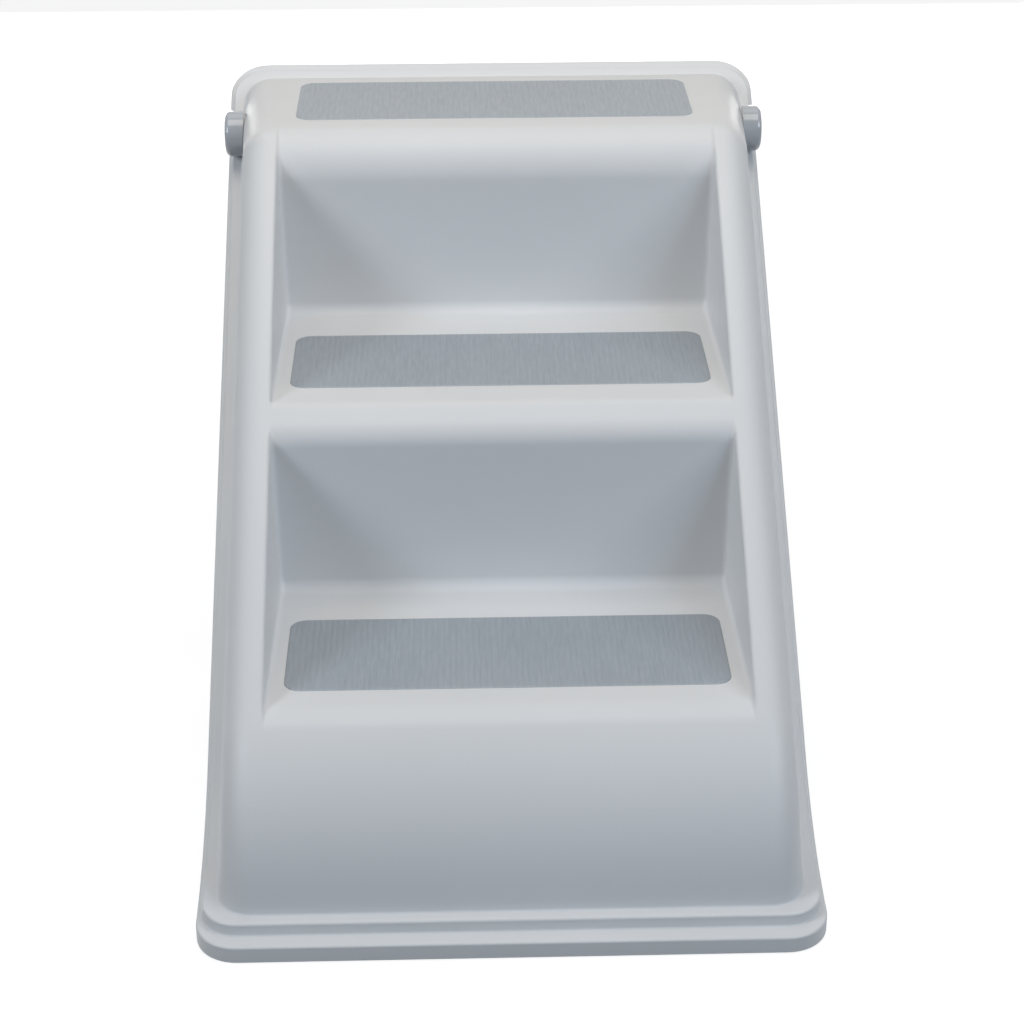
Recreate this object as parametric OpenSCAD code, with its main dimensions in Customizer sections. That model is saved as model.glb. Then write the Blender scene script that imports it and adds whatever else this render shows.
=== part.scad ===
// Folding pet stairs: a hollow moulded step shell that leans on a hinged rear leg.
// X runs across the stairs, Y from the toe to the back, Z up from the floor.
// The origin is on the floor, in the middle of the footprint.

/* [Steps] */
// Height of one step
rise = 135; // [125:1:145]
// Distance from one nose to the next
run = 178; // [168:1:188]
// Depth of a tread, from its nose to its back corner
tread_d = 162; // [154:1:170]
// Clear width between the two side rails
step_w = 313; // [300:1:318]
// Rounding of the middle nose
nose_r = 12; // [8:1:16]
// Rounding of the lowest nose
low_nose_r = 36; // [20:1:45]
// Depth of the bar under a nose, along the slope
bar_d = 24; // [20:1:30]
// Rounding between that bar and the riser below it
bar_r = 10; // [6:1:12]
// Rounding between a tread and the riser behind it
crease_r = 9; // [5:1:14]
// Rounding between the upper riser and the top tread
top_nose_r = 32; // [28:1:34]

/* [Shell] */
// Width over the outer lip
overall_w = 405; // [398:1:425]
// Wall of the moulding
wall = 3.5; // [2.5:0.1:4]
// Height of the outer lip
lip_h = 12; // [9:0.5:14]
// Width of the flat top of the lip, at the toe and at the top
lip_shelf = 12; // [9:0.5:14]
// Width of the flat top of the lip, at the sides
lip_side = 3.5; // [3:0.25:5]
// Height of the ledge above the lip
ledge_h = 9; // [6:0.5:9.5]
// Width of the flat top of the ledge, at the toe and at the top
ledge_shelf = 8.5; // [6:0.5:11]
// Width of the flat top of the ledge, at the sides
ledge_side = 8; // [7:0.25:9]
// Draft of the body's side walls, in degrees
wall_draft = 6; // [4:0.5:7]
// Corner radius of the lip
lip_corner_r = 28; // [20:1:34]
// Corner radius of the ledge
ledge_corner_r = 24; // [18:1:28]
// Rounding of the body's outer edges
edge_r = 22; // [18:1:24]
// Distance from the front of the lip to the lowest nose
toe_reach = 81; // [74:1:90]
// Radius with which the rim curves out at the toe
toe_r = 220; // [120:5:240]
// Radius of the front panel's curve
front_r = 145; // [120:1:150]
// Lean of the front panel at its foot, in degrees
front_lean = 6; // [3:0.5:9]
// Length of the rim past the back corner of the middle tread
rim_past = 227; // [220:1:240]
// Thickness of the ribs under the treads
rib_t = 2.5; // [1.5:0.1:3.5]
// Distance between those ribs
rib_pitch = 60; // [45:1:75]

/* [Mats] */
// Width of a tread mat
mat_w = 292; // [270:1:296]
// Depth of a tread mat
mat_d = 92; // [80:1:96]
// Corner radius of a mat
mat_r = 11; // [5:1:16]
// Thickness of a mat
mat_t = 2; // [1.6:0.1:3]
// How deep a mat is let into its tread
mat_inlay = 1.2; // [0.8:0.1:1.4]
// Distance from the nose to the mat
mat_back = 27; // [22:1:32]
// Gap round a mat
mat_gap = 0.3; // [0.2:0.05:0.5]
// Distance between the ribs of a mat
mat_pitch = 4; // [3:0.25:6]
// Height of the ribs of a mat
mat_rib_h = 0.5; // [0.3:0.05:0.7]
// Half of a rib's foot, as a share of the distance between the ribs
mat_rib_share = 0.42; // [0.3:0.01:0.45]

/* [Hinge] */
// Distance from the top end of the rim to the hinge, along the slope
hinge_back = 84; // [80:1:92]
// Height of the hinge above the top of the lip
hinge_lift = 27; // [26:0.5:29]
// Radius of the hinge pin
pin_r = 5; // [4:0.25:6]
// Radius of the pin's head
pin_head_r = 9; // [8:0.5:11]
// Thickness of the pin's head
pin_head_t = 3; // [2:0.25:4]
// Radius of the round cap
cap_r = 17; // [15:0.25:17.5]
// How far the cap stands out past the foot of the side wall
cap_l = 12; // [11:0.25:14]
// Rounding of the cap's outer edge
cap_edge_r = 3.5; // [2:0.25:5]
// Wall of the cap
cap_wall = 2.5; // [1.8:0.1:3]
// Wall of the bush in the leg
bush_wall = 2; // [1.5:0.1:2.5]
// Thickness of the bush's flange and of the washer
flange_t = 1.5; // [1:0.1:1.8]
// Radius of the bush's flange and of the washer
flange_r = 11; // [10:0.5:12]
// Thickness of the lock ring under the cap
ring_t = 1.2; // [0.8:0.1:1.6]
// Radius of the boss round the pin, inside the shell
boss_r = 13; // [11:0.5:14]
// Height of that boss, up to the foot of the side wall
boss_h = 11; // [10:0.5:12]
// Running clearance of the pin in its bush
run_gap = 0.06; // [0.03:0.01:0.1]
// Clearance at the sides of the leg
side_gap = 0.3; // [0.2:0.05:0.4]

/* [Leg] */
// Backward lean of the opened leg, in degrees
leg_lean = 10.5; // [8:0.5:12]
// Thickness of a leg arm, across the stairs
arm_t = 13; // [10:0.5:13.2]
// Depth of a leg arm, front to back
arm_d = 29; // [25:1:30]
// Depth of the web between the arms
web_d = 15; // [10:1:16]
// Wall of the leg's skin
leg_wall = 3; // [2:0.1:4]
// Thickness of the leg's ribs
leg_rib_t = 2.5; // [1.5:0.1:3.5]
// Distance from the hinge to the crossbar
bar_drop = 34; // [30:1:45]
// Height of the crossbar
bar_h = 36; // [25:1:50]
// Distance from the hinge to the panel
panel_drop = 192; // [190:1:200]
// Height of the panel
panel_h = 134; // [110:1:136]
// Corner radius of the leg's windows
window_r = 14; // [8:1:18]

/* [Feet] */
// How far the feet stand out below the lip
foot_proud = 1; // [0.5:0.1:2]
// Width of a front foot
foot_w = 60; // [40:1:80]
// Depth of a front foot
foot_d = 14; // [10:1:15]
// Height of a leg foot
leg_foot_h = 8; // [6:0.5:12]
// Width of the stem that holds a leg foot
stem_w = 6; // [4:0.5:7]
// Depth of that stem
stem_d = 14; // [10:1:18]
// Height of that stem
stem_h = 14; // [8:1:18]
// Rounding of the rubber edges
rubber_r = 2; // [1:0.25:3]

/* [Hidden] */
$fn = 64;

shell_color = "#c9cbd0";
mat_color = "#959ea6";
leg_color = "#b9bcc2";
cap_color = "#8b9299";
steel_color = "#b4b8bc";
nylon_color = "#e4e4de";
rubber_color = "#3c3f43";

// One overrun serves all cuts
over = 1;
// The top nose's rounding passes this far over the top tread, so that it runs out in it
mouth_over = 0.3;
// Largest turn between two points of a drawn arc, in degrees
arc_step = 6;
// Sides of the balls that round the body
ball_sides = 32;
// Sides of the round cap and of the leg's head
round_sides = 64;

// The slope: s runs up along it from the lower tread's back corner, n stands square to it
slope = atan(rise / run);
step_s = norm([run, rise]);
rim_s = step_s + rim_past;
crest_n = tread_d * sin(slope);
depth = toe_reach + tread_d + rim_s * cos(slope) + lip_h * sin(slope);
front_y = -depth / 2;
nose_y = front_y + toe_reach;
back_y = nose_y + tread_d;
toe_z = foot_proud + lip_h;
top_z = 3 * rise;
// Half-widths from the middle of the stairs to each wall, the body's at its foot
lip_x = overall_w / 2;
body_x = lip_x - lip_side - ledge_side;
step_x = step_w / 2;
// Far enough to pass any part of the stairs
reach = depth;

// The hinge and what is stacked along its pin, from the shell's side inwards
pivot = along(rim_s - hinge_back, hinge_lift);
seat_x = body_x - wall - boss_h;
arm_out_x = seat_x - flange_t - side_gap;
arm_in_x = arm_out_x - arm_t;
head_x = arm_in_x - flange_t - side_gap;
arm_r = arm_d / 2;
bush_r = pin_r + run_gap + bush_wall;
hub_r = pin_r + cap_wall;
ring_r = cap_r - cap_wall - side_gap - mat_gap;
// The ribs under the treads stay above the folded leg
rib_n = hinge_lift + leg_wall;
leg_l = pivot[1] / cos(leg_lean);
arm_end = (pivot[1] - leg_foot_h) / cos(leg_lean);

// Point of the side view, from its place along the slope and its height over it
function along(s, n) = [
    back_y + s * cos(slope) - n * sin(slope),
    rise + s * sin(slope) + n * cos(slope)
];
// Height over the slope of a place in the side view
function height_of(p) = (p[1] - rise) * cos(slope) - (p[0] - back_y) * sin(slope);
// Half-width of the body at that height
function wall_at(n) = body_x - (n - ledge_h) * tan(wall_draft);
// Place in the side view of a height over the slope, at a level
function at_level(n, z) = [back_y + ((z - rise) * cos(slope) - n) / sin(slope), z];
function unit(v) = v / norm(v);
function flat(p) = [p[0], p[1]];
function turned(v) = [-v[1], v[0]];
function cross2(a, b) = a[0] * b[1] - a[1] * b[0];
// Where the line from p along d meets the line from q along e
function meet(p, d, q, e) = p + d * cross2(q - p, e) / cross2(d, e);
// Arc that rounds corner q, between its neighbours p and t, with the radius q[2]
function rounded(p, q, t) =
    let (
        a = unit(flat(p) - flat(q)),
        b = unit(flat(t) - flat(q)),
        half = acos(a * b) / 2,
        mid = flat(q) + unit(a + b) * q[2] / sin(half),
        first = flat(q) + a * q[2] / tan(half) - mid,
        last = flat(q) + b * q[2] / tan(half) - mid,
        from = atan2(first[1], first[0]),
        turn = sign(cross2(first, last)) * (180 - 2 * half),
        steps = ceil(abs(turn) / arc_step)
    )
    [for (i = [0:steps]) mid + q[2] * [cos(from + turn * i / steps), sin(from + turn * i / steps)]];
// Closed outline through corners of the form [across, up, radius]
function outline(corners) =
    let (count = len(corners))
    [for (i = [0:count - 1])
        each corners[i][2] == 0
            ? [flat(corners[i])]
            : rounded(corners[(i + count - 1) % count], corners[i], corners[(i + 1) % count])];

// A shape drawn in the side view, extruded between two places across the stairs
module side_view(x1, x2) {
    translate([x1, 0, 0])
        rotate([90, 0, 90])
            linear_extrude(x2 - x1)
                children();
}

// A frame whose Y runs up along the slope and whose Z stands square to it
module on_slope() {
    translate([0, back_y, rise])
        rotate([slope, 0, 0])
            children();
}

// Both sides of the stairs, from what is drawn for the right
module both_sides() {
    children();
    mirror([1, 0, 0]) children();
}

module on_side(side) {
    if (side > 0) children();
    else mirror([1, 0, 0]) children();
}

// The hinge's axis, with local Z outwards along +X and zero at the middle of the stairs
module on_hinge() {
    translate([0, pivot[0], pivot[1]])
        rotate([0, 90, 0])
            children();
}

// All that lies under the rim's surface at the height n, which curves out level at the toe
module under_rim(n) {
    bend = at_level(n, toe_z + n);
    far = along(rim_s + reach, n);
    side_view(-reach, reach)
        polygon(outline([
            [front_y - reach, toe_z + n, 0],
            [bend[0], bend[1], toe_r - n],
            [far[0], far[1], 0],
            [far[0], -reach, 0],
            [front_y - reach, -reach, 0]
        ]));
}

// All that lies over that surface, between two places across the stairs
module over_rim(n, x1 = -reach, x2 = reach, y2 = 2 * reach) {
    bend = at_level(n, toe_z + n);
    far = along(rim_s + reach, n);
    intersection() {
        side_view(x1, x2)
            polygon(outline([
                [front_y - reach, toe_z + n, 0],
                [bend[0], bend[1], toe_r - n],
                [far[0], far[1], 0],
                [front_y - reach, far[1], 0]
            ]));
        translate([x1, front_y - reach, 0])
            cube([x2 - x1, y2 - front_y + reach, far[1]]);
    }
}

// Footprint of the rim: its toe corners are round from above, its top corners along the slope
module footprint(side, inset, r) {
    x = lip_x - side;
    intersection() {
        translate([0, 0, -reach])
            linear_extrude(2 * reach)
                polygon(outline([
                    [-x, front_y + inset, r],
                    [x, front_y + inset, r],
                    [x, front_y + 2 * reach, 0],
                    [-x, front_y + 2 * reach, 0]
                ]));
        on_slope()
            translate([0, 0, -reach])
                linear_extrude(2 * reach)
                    polygon(outline([
                        [-x, -reach, 0],
                        [x, -reach, 0],
                        [x, rim_s - inset, r],
                        [-x, rim_s - inset, r]
                    ]));
    }
}

module ball(r) {
    rotate_extrude($fn = ball_sides)
        polygon([for (i = [0:ball_sides / 2]) r * [sin(360 * i / ball_sides), -cos(360 * i / ball_sides)]]);
}

// The body without its steps: balls in every corner of the side view, drawn together.
// They stand further apart the lower they are, which gives the side walls their draft
module body_form(inset) {
    foot_y = front_y + lip_shelf + ledge_shelf;
    lean = [sin(front_lean), cos(front_lean)];
    inward = [cos(front_lean), -sin(front_lean)];
    start = [foot_y, toe_z + ledge_h];
    crest = along(0, crest_n - front_r);
    bend = meet(start + inward * front_r, lean, crest, [cos(slope), sin(slope)]);
    end_s = rim_s - lip_shelf - ledge_shelf - edge_r;
    top_back = meet([0, top_z - edge_r], [1, 0], along(end_s, 0), [-sin(slope), cos(slope)]);
    centres = concat(
        [for (i = [0:arc_step:90 - slope - front_lean])
            bend + (front_r - edge_r) * [cos(90 + slope + i), sin(90 + slope + i)]],
        [
            start + inward * edge_r - lean * edge_r,
            start + inward * edge_r - lean * 4 * edge_r,
            at_level(crest_n - edge_r, top_z - edge_r),
            top_back,
            along(end_s, -3 * edge_r)
        ]
    );
    hull()
        for (side = [-1, 1], c = centres)
            translate([side * (wall_at(height_of(c)) - edge_r / cos(wall_draft)), c[0], c[1]])
                ball(edge_r - inset);
}

// All that lies inside the drafted wall of one side, grown by g
module inside_wall(g) {
    on_slope()
        translate([body_x + g, 0, ledge_h])
            rotate([0, -wall_draft, 0])
                translate([-reach, -reach, -reach])
                    cube([reach, 2 * reach, 2 * reach]);
}

// The space over tread k, grown into the moulding by g: tread, back corner, riser and bar
module step_space(k, g) {
    down = [cos(slope), sin(slope)];
    nose = [nose_y + k * run, (k + 1) * rise];
    corner = nose + [tread_d, 0];
    bar = nose + [run, rise] - bar_d * down;
    up = unit(bar - corner);
    crest = along(0, crest_n - g);
    nose_g = meet([0, nose[1] - g], [1, 0], crest, down);
    corner_g = meet([0, nose[1] - g], [1, 0], corner - g * turned(up), up);
    bar_g = meet(corner - g * turned(up), up, crest, down);
    front_r_g = (k == 0 ? low_nose_r : nose_r) - g;
    // The upper riser has no bar: one large rounding leads it over into the top tread
    top_g = meet(corner - g * turned(up), up, [0, top_z - g + mouth_over], [1, 0]);
    head = k == 0 ? [bar_g[0], bar_g[1], bar_r - g] : [top_g[0], top_g[1], top_nose_r - g];
    // The mouth runs out just over the crest, so that its roundings meet it without an edge
    below = nose_g - bar_d * 2 * down + over * turned(down);
    above = k == 0 ? bar_g + bar_d * 2 * down + over * turned(down) : top_g + [2 * top_nose_r, 0];
    side_view(-step_x - g, step_x + g)
        polygon(outline([
            [below[0], below[1], 0],
            [nose_g[0], nose_g[1], front_r_g],
            [corner_g[0], corner_g[1], crease_r + g],
            head,
            [above[0], above[1], 0],
            [above[0] - crest_n, above[1] + crest_n, 0],
            [below[0] - crest_n, below[1] + crest_n, 0]
        ]));
}

// Footprint of a mat on tread k, grown by g, from the level z upwards
module mat_block(k, g, z, h) {
    x = mat_w / 2 + g;
    y1 = nose_y + k * run + mat_back - g;
    y2 = y1 + mat_d + 2 * g;
    translate([0, 0, z])
        linear_extrude(h)
            polygon(outline([[-x, y1, mat_r + g], [x, y1, mat_r + g], [x, y2, mat_r + g], [-x, y2, mat_r + g]]));
}

// Thin upright ribs that stiffen the treads and the front panel from below
module under_ribs() {
    for (i = [-2:2]) {
        x = i * rib_pitch;
        over_rim(rib_n, x - rib_t / 2, x + rib_t / 2);
        over_rim(0, x - rib_t / 2, x + rib_t / 2, nose_y + tread_d / 2);
    }
}

// Stop that the opened leg leans on: a face square to the arm, and a gusset behind it
module leg_stop() {
    face = [sin(leg_lean), -cos(leg_lean)];
    rear = [cos(leg_lean), sin(leg_lean)];
    top = pivot + rear * (arm_r + side_gap) + face * arm_r;
    low = meet(top, face, along(0, wall - lip_h), [cos(slope), sin(slope)]);
    side_view(arm_in_x, body_x)
        polygon([top, low, low + rear * wall, top + rear * wall]);
    side_view(arm_in_x + arm_t / 2, arm_in_x + arm_t / 2 + rib_t)
        polygon([top, low, low + rear * hinge_back, top + rear * hinge_back]);
}

// The inside of the moulding, open below
module hollow() {
    difference() {
        union() {
            intersection() {
                footprint(wall, wall, lip_corner_r - wall);
                under_rim(-wall);
            }
            intersection() {
                footprint(lip_side + wall, lip_shelf + wall, ledge_corner_r - wall);
                under_rim(ledge_h - wall);
            }
            body_form(wall);
        }
        for (k = [0:1]) step_space(k, wall);
        under_ribs();
        both_sides() {
            on_hinge()
                translate([0, 0, seat_x])
                    cylinder(r = boss_r, h = wall + boss_h);
            leg_stop();
        }
    }
}

// One moulding: treads, risers, rails, front panel, ledge and lip
module step_shell() {
    color(shell_color)
        difference() {
            intersection() {
                union() {
                    intersection() {
                        footprint(0, 0, lip_corner_r);
                        under_rim(0);
                    }
                    intersection() {
                        footprint(lip_side, lip_shelf, ledge_corner_r);
                        under_rim(ledge_h);
                    }
                    body_form(0);
                    // Flat hub on the drafted wall, for the lock ring and the cap
                    both_sides()
                        on_hinge()
                            translate([0, 0, seat_x])
                                cylinder(r = ring_r, h = body_x - seat_x);
                }
                over_rim(-lip_h);
            }
            for (k = [0:1]) step_space(k, 0);
            for (k = [0:2]) mat_block(k, mat_gap, (k + 1) * rise - mat_inlay, mat_t + over);
            hollow();
            both_sides()
                on_hinge()
                    translate([0, 0, seat_x - over])
                        cylinder(r = pin_r, h = wall + boss_h + 2 * over);
        }
}

// Ribbed rubber mat, let into tread k
module tread_mat(k) {
    z = (k + 1) * rise - mat_inlay;
    ribs = floor(mat_w / mat_pitch / 2);
    color(mat_color)
        intersection() {
            mat_block(k, 0, z, mat_t);
            translate([0, nose_y + k * run + mat_back + mat_d + over, z])
                rotate([90, 0, 0])
                    linear_extrude(mat_d + 2 * over)
                        polygon(concat(
                            [[-mat_w, 0], [-mat_w, mat_t - mat_rib_h]],
                            [for (i = [-ribs:ribs], share = [[-1, 0], [-0.5, 1], [0.5, 1], [1, 0]])
                                [(i + share[0] * mat_rib_share) * mat_pitch, mat_t - mat_rib_h * (1 - share[1])]],
                            [[mat_w, mat_t - mat_rib_h], [mat_w, 0]]
                        ));
        }
}

// Places that belong to the leg: local Z runs up along it, local Y to the back
module on_leg() {
    translate([0, pivot[0], pivot[1]])
        rotate([leg_lean, 0, 0])
            children();
}

// Rounded window between the arms, from one distance under the hinge to another
module leg_window(from, to, r_top, r_low, x = arm_in_x) {
    translate([0, arm_r + over, 0])
        rotate([90, 0, 0])
            linear_extrude(arm_d + 2 * over)
                polygon(outline([[-x, -from, r_top], [x, -from, r_top], [x, -to, r_low], [-x, -to, r_low]]));
}

// Pockets that leave upright and level ribs on the front of a web
module web_pockets(from, to, columns, rows) {
    wide = (2 * arm_in_x - 2 * leg_wall - (columns - 1) * leg_rib_t) / columns;
    high = (to - from - 2 * leg_wall - (rows - 1) * leg_rib_t) / rows;
    for (i = [0:columns - 1], j = [0:rows - 1]) {
        x = -arm_in_x + leg_wall + i * (wide + leg_rib_t);
        z = -from - leg_wall - j * (high + leg_rib_t);
        translate([0, arm_r - leg_wall, 0])
            rotate([90, 0, 0])
                linear_extrude(web_d)
                    polygon(outline([
                        [x, z, leg_wall], [x + wide, z, leg_wall],
                        [x + wide, z - high, leg_wall], [x, z - high, leg_wall]
                    ]));
    }
}

// Arm of the leg, with a solid head and ladder pockets on its outer side
module leg_arm() {
    pockets = 6;
    first = arm_r + leg_wall;
    last = arm_end - stem_h - 3 * leg_wall;
    high = (last - first - (pockets - 1) * leg_rib_t) / pockets;
    y = arm_r - leg_wall;
    difference() {
        union() {
            rotate([0, 90, 0])
                translate([0, 0, arm_in_x])
                    cylinder(r = arm_r, h = arm_t);
            translate([arm_in_x, -arm_r, -leg_l - arm_d])
                cube([arm_t, arm_d, leg_l + arm_d]);
        }
        for (i = [0:pockets - 1])
            translate([arm_in_x + leg_wall, 0, -first - i * (high + leg_rib_t)])
                rotate([90, 0, 90])
                    linear_extrude(arm_t)
                        polygon(outline([
                            [-y, 0, leg_wall], [y, 0, leg_wall], [y, -high, leg_wall], [-y, -high, leg_wall]
                        ]));
        rotate([0, 90, 0])
            translate([0, 0, arm_in_x - over])
                cylinder(r = bush_r, h = arm_t + 2 * over);
        foot_stem(over);
    }
}

// Stem of a leg foot, in the middle of the arm's end
module foot_stem(below) {
    translate([arm_in_x + (arm_t - stem_w) / 2, -stem_d / 2, -arm_end - below - arm_r * tan(leg_lean)])
        cube([stem_w, stem_d, stem_h + below + arm_r * tan(leg_lean)]);
}

// One moulding: two arms, a crossbar and a ribbed panel
module rear_leg() {
    web_top = bar_drop;
    web_low = panel_drop + panel_h;
    color(leg_color)
        difference() {
            on_leg() {
                both_sides() leg_arm();
                difference() {
                    translate([-arm_in_x, arm_r - web_d, -web_low - window_r])
                        cube([2 * arm_in_x, web_d, web_low - web_top + 2 * window_r]);
                    leg_window(0, web_top, 0, window_r);
                    leg_window(bar_drop + bar_h, panel_drop, window_r, leg_wall);
                    leg_window(web_low, web_low + 2 * window_r, window_r, 0);
                    web_pockets(bar_drop, bar_drop + bar_h, 6, 1);
                    web_pockets(panel_drop, web_low, 6, 2);
                }
            }
            translate([-reach, -reach, leg_foot_h - reach])
                cube([2 * reach, 2 * reach, reach]);
        }
}

// Headed pin, fixed in the shell, on which the leg turns
module hinge_pin(side) {
    pin_l = body_x + cap_l - 2 * cap_wall - head_x;
    color(steel_color)
        on_side(side)
            on_hinge()
                translate([0, 0, head_x])
                    rotate_extrude()
                        polygon([
                            [0, -pin_head_t], [pin_head_r - cap_wall / 2, -pin_head_t],
                            [pin_head_r, -pin_head_t / 2], [pin_head_r, 0], [pin_r, 0],
                            [pin_r, pin_l - run_gap - over], [pin_r - over, pin_l], [0, pin_l]
                        ]);
}

// Flanged bush, fixed in the arm
module hinge_bush(side) {
    color(nylon_color)
        on_side(side)
            on_hinge()
                translate([0, 0, arm_in_x])
                    difference() {
                        union() {
                            cylinder(r = bush_r, h = arm_t);
                            translate([0, 0, -flange_t]) cylinder(r = flange_r, h = flange_t);
                        }
                        translate([0, 0, -flange_t - over])
                            cylinder(r = pin_r + run_gap, h = arm_t + flange_t + 2 * over);
                    }
}

// Washer between the arm and the shell's boss
module hinge_washer(side) {
    color(nylon_color)
        on_side(side)
            on_hinge()
                translate([0, 0, seat_x - flange_t])
                    difference() {
                        cylinder(r = flange_r, h = flange_t);
                        translate([0, 0, -over]) cylinder(r = pin_r, h = flange_t + 2 * over);
                    }
}

// Lock ring that grips the pin outside the shell, with slots between its teeth
module hinge_ring(side) {
    teeth = 6;
    color(steel_color)
        on_side(side)
            on_hinge()
                translate([0, 0, body_x])
                    difference() {
                        cylinder(r = ring_r, h = ring_t);
                        translate([0, 0, -over]) cylinder(r = pin_r, h = ring_t + 2 * over);
                        for (i = [0:teeth - 1])
                            rotate([0, 0, 360 * i / teeth])
                                translate([0, -ring_t / 2, -over])
                                    cube([hub_r + ring_t, ring_t, ring_t + 2 * over]);
                    }
}

// Glossy round cap, pressed on the pin's end with its hub; its skirt is cut to the drafted wall
module hinge_cap(side) {
    hub_z = 2 * ring_t;
    skirt = 2 * cap_r * tan(wall_draft) + over;
    color(cap_color)
        on_side(side)
            difference() {
                on_hinge()
                    translate([0, 0, body_x])
                        rotate_extrude($fn = round_sides)
                            polygon(concat(
                                [[cap_r - cap_wall, -skirt], [cap_r, -skirt]],
                                rounded([cap_r, 0], [cap_r, cap_l, cap_edge_r], [0, cap_l]),
                                [
                                    [0, cap_l], [0, cap_l - cap_wall], [pin_r, cap_l - cap_wall],
                                    [pin_r, hub_z], [hub_r, hub_z], [hub_r, cap_l - cap_wall],
                                    [cap_r - cap_wall, cap_l - cap_wall]
                                ]
                            ));
                inside_wall(mat_gap);
            }
}

// Rubber strip in the channel of the lip, under the toe
module front_foot(side) {
    y = front_y + wall + side_gap;
    h = toe_z - wall;
    x = lip_x - lip_corner_r - foot_w;
    color(rubber_color)
        on_side(side)
            side_view(x, x + foot_w)
                polygon(outline([[y, 0, rubber_r], [y + foot_d, 0, rubber_r], [y + foot_d, h, 0], [y, h, 0]]));
}

// Rubber shoe under an arm, held by its stem
module leg_foot(side) {
    half = arm_r / cos(leg_lean);
    low = pivot[0] + pivot[1] * tan(leg_lean);
    high = pivot[0] + (pivot[1] - leg_foot_h) * tan(leg_lean);
    color(rubber_color)
        on_side(side) {
            side_view(arm_in_x, arm_out_x)
                polygon(outline([
                    [high - half, leg_foot_h, 0], [low - half, 0, rubber_r],
                    [low + half, 0, rubber_r], [high + half, leg_foot_h, 0]
                ]));
            difference() {
                on_leg() foot_stem(0);
                translate([0, -reach, -reach]) cube([reach, 2 * reach, reach + leg_foot_h / 2]);
            }
        }
}

step_shell();
tread_mat(0);  // tread_mat_lower
tread_mat(1);  // tread_mat_middle
tread_mat(2);  // tread_mat_upper
rear_leg();
hinge_pin(-1);  // hinge_pin_left
hinge_pin(1);  // hinge_pin_right
hinge_bush(-1);  // hinge_bush_left
hinge_bush(1);  // hinge_bush_right
hinge_washer(-1);  // hinge_washer_left
hinge_washer(1);  // hinge_washer_right
hinge_ring(-1);  // hinge_ring_left
hinge_ring(1);  // hinge_ring_right
hinge_cap(-1);  // hinge_cap_left
hinge_cap(1);  // hinge_cap_right
front_foot(-1);  // front_foot_left
front_foot(1);  // front_foot_right
leg_foot(-1);  // leg_foot_left
leg_foot(1);  // leg_foot_right
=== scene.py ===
import math

import bmesh
import bpy
import numpy as np
from mathutils import Matrix, Vector


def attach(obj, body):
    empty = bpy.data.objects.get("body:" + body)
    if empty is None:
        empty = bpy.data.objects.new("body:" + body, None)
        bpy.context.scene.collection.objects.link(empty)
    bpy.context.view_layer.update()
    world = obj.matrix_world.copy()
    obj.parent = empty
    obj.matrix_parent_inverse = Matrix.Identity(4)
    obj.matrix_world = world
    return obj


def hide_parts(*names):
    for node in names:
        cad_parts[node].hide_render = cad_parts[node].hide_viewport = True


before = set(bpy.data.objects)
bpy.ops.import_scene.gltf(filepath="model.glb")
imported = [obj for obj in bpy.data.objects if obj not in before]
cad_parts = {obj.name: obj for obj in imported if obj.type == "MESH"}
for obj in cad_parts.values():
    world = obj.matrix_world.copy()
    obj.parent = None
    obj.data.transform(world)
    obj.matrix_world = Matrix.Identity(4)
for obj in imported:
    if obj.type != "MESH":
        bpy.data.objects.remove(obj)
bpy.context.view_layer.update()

print("frame loaded:", len(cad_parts), "nodes")
mm = 0.001


# shader node groups that several materials share

def nodeGroup(name, inputs, outputs):
    group = bpy.data.node_groups.new(name, "ShaderNodeTree")
    for label, kind, value in inputs:
        socket = group.interface.new_socket(label, in_out="INPUT", socket_type=kind)
        socket.default_value = value
    for label, kind in outputs:
        group.interface.new_socket(label, in_out="OUTPUT", socket_type=kind)
    entry = group.nodes.new("NodeGroupInput")
    leave = group.nodes.new("NodeGroupOutput")
    return group, entry, leave


def addNode(tree, kind, **settings):
    node = tree.nodes.new(kind)
    for key, value in settings.items():
        setattr(node, key, value)
    return node


def placeCoords(tree, stretch=(1, 1, 1)):
    coords = addNode(tree, "ShaderNodeTexCoord")
    mapping = addNode(tree, "ShaderNodeMapping")
    mapping.inputs["Scale"].default_value = stretch
    tree.links.new(coords.outputs["Object"], mapping.inputs["Vector"])
    return mapping.outputs["Vector"]


def noise(tree, vector, scale, detail=2.0, roughness=0.5):
    node = addNode(tree, "ShaderNodeTexNoise")
    if isinstance(scale, (int, float)):
        node.inputs["Scale"].default_value = scale
    else:
        tree.links.new(scale, node.inputs["Scale"])
    node.inputs["Detail"].default_value = detail
    node.inputs["Roughness"].default_value = roughness
    tree.links.new(vector, node.inputs["Vector"])
    return node.outputs["Fac"]


def spread(tree, value, low, high, fromLow=0.3, fromHigh=0.7):
    node = addNode(tree, "ShaderNodeMapRange")
    node.inputs["From Min"].default_value, node.inputs["From Max"].default_value = fromLow, fromHigh
    node.inputs["To Min"].default_value, node.inputs["To Max"].default_value = low, high
    tree.links.new(value, node.inputs["Value"])
    return node.outputs["Result"]


def plugIn(tree, socket, value):
    if isinstance(value, bpy.types.NodeSocket):
        tree.links.new(value, socket)
    else:
        socket.default_value = value


def combine(tree, operation, first, second):
    node = addNode(tree, "ShaderNodeMath", operation=operation)
    plugIn(tree, node.inputs[0], first)
    plugIn(tree, node.inputs[1], second)
    return node.outputs[0]


def mixColour(tree, factor, first, second):
    # sockets 6 and 7 in and 2 out are the colour ones
    node = addNode(tree, "ShaderNodeMix", data_type="RGBA")
    tree.links.new(factor, node.inputs["Factor"])
    plugIn(tree, node.inputs[6], first)
    plugIn(tree, node.inputs[7], second)
    return node.outputs[2]


grainNoise = {"driftScale": 6.5, "driftRange": (0.38, 0.62), "cloudScale": 45.0, "glossSwing": 0.05,
              "fineDetail": 1.5, "slowDetail": 3.0}


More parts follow.
